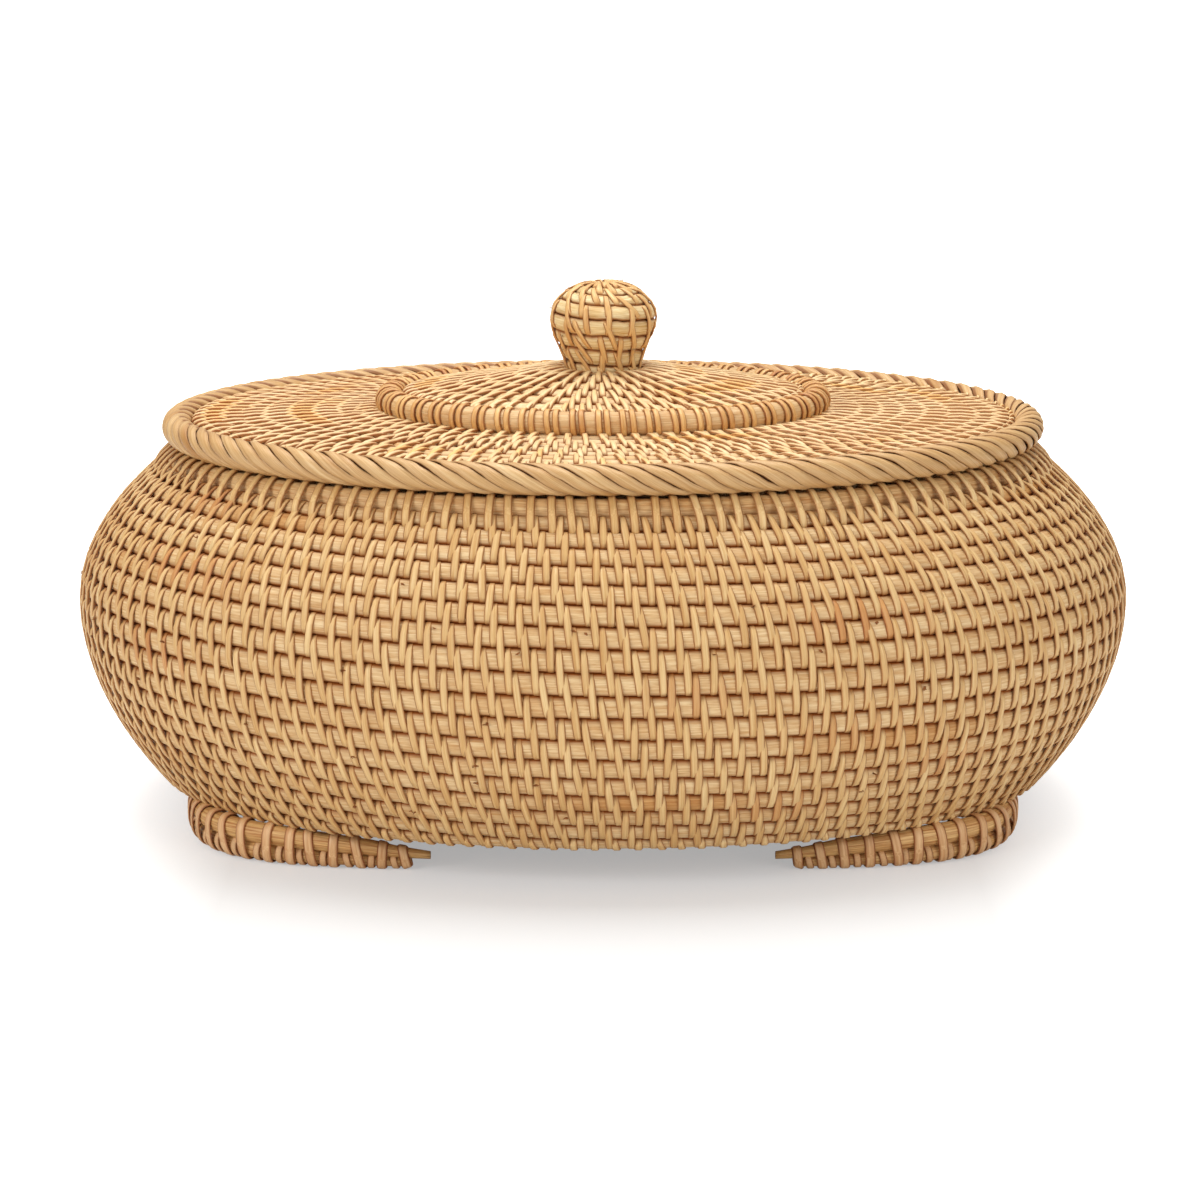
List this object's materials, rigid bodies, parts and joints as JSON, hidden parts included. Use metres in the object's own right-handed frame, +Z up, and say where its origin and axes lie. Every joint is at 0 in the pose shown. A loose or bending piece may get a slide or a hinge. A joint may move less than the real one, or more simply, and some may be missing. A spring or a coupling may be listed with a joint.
{
  "type": "woven lidded box",
  "caption": "Oval lidded box of coiled and stitched cane, with a rope-edged domed lid, a coiled round knob and two curved feet of bound rods.",
  "frame": {"origin": "on the surface the feet stand on, under the middle of the box", "axes": "+X along the box's length to the right, +Y to the back, +Z up through the knob"},
  "size_m": [0.3394, 0.2512, 0.1705],
  "materials": {
    "cane": "satin",
    "foot_cane": "satin",
    "binding_cane": "satin",
    "rope_cane": "satin",
    "core_wood": "matte"
  },
  "bodies": {
    "box": {"base_panel": "cane", "wall_cane_1": "cane", "wall_cane_2": "cane", "wall_cane_3": "cane", "wall_cane_4": "cane", "mouth_rod": "cane", "left_foot_lower_rod": "foot_cane", "left_foot_upper_rod": "foot_cane", "left_foot_binding": "binding_cane", "right_foot_lower_rod": "foot_cane", "right_foot_upper_rod": "foot_cane", "right_foot_binding": "binding_cane"},
    "lid": {"lid_rope_rim": "rope_cane", "lid_field_coil": "cane", "lid_lip_rod": "cane", "raised_oval_edge_rod": "cane", "raised_oval_coil": "cane", "knob_coil": "cane", "knob_core": "core_wood"}
  },
  "joints": [
    {"name": "lid_lift", "type": "slide", "parent": "box", "child": "lid", "axis": [0, 0, 1], "range_m": [0, 0.2]}
  ]
}
